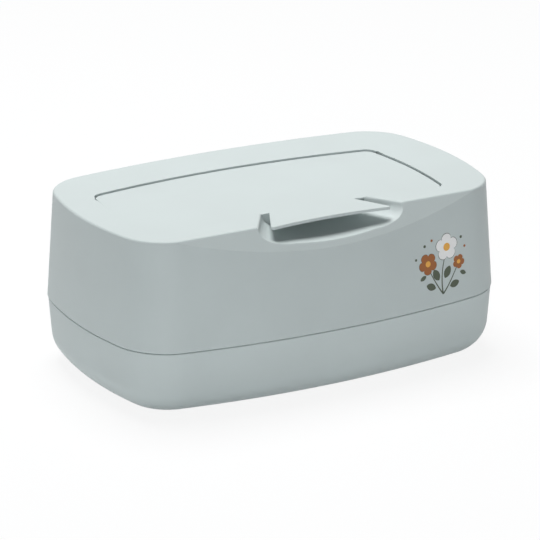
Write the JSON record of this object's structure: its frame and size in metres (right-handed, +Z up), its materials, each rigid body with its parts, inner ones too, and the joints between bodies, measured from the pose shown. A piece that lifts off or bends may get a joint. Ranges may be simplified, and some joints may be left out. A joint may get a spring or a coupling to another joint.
{
  "type": "wet wipes box",
  "caption": "Rounded lidded box for a stack of wet wipes: a tub, a lift-off cover with a finger scoop, a flap lid with a flared tongue and a weighted press plate.",
  "frame": {"origin": "on the surface that the box stands on, below the middle of the box", "axes": "+X is the box's right as seen from the front, +Z is up, and the front with the finger scoop and the lid's tongue faces -Y"},
  "size_m": [0.26, 0.1658, 0.1076],
  "materials": {
    "tub_plastic": "fine matte, pale grey-green",
    "cover_plastic": "fine matte, pale grey-green",
    "lid_plastic": "fine matte, pale grey-green",
    "plate_plastic": "fine matte, off-white",
    "foot_rubber": "matte, grey",
    "seal_rubber": "matte silicone, off-white",
    "steel": "brushed"
  },
  "bodies": {
    "tub": {"base_tub": "tub_plastic", "front_left_foot": "foot_rubber", "front_right_foot": "foot_rubber", "back_left_foot": "foot_rubber", "back_right_foot": "foot_rubber"},
    "cover": {"cover": "cover_plastic"},
    "flap": {"flap_lid": "lid_plastic", "lid_seal": "seal_rubber", "left_hinge_pin": "steel", "right_hinge_pin": "steel"},
    "plate": {"press_plate": "plate_plastic", "plate_back": "plate_plastic", "left_plate_weight": "steel", "right_plate_weight": "steel"}
  },
  "joints": [
    {"name": "cover_lift", "type": "slide", "parent": "tub", "child": "cover", "axis": [0, 0, 1], "range_m": [0, 0.12]},
    {"name": "flap_hinge", "type": "hinge", "parent": "cover", "child": "flap", "pos_m": [-0.0076, 0.02, 0.1035], "axis": [-1, 0, 0], "range_deg": [0, 105]},
    {"name": "plate_travel", "type": "slide", "parent": "tub", "child": "plate", "axis": [0, 0, 1], "range_m": [0, 0.065]}
  ]
}
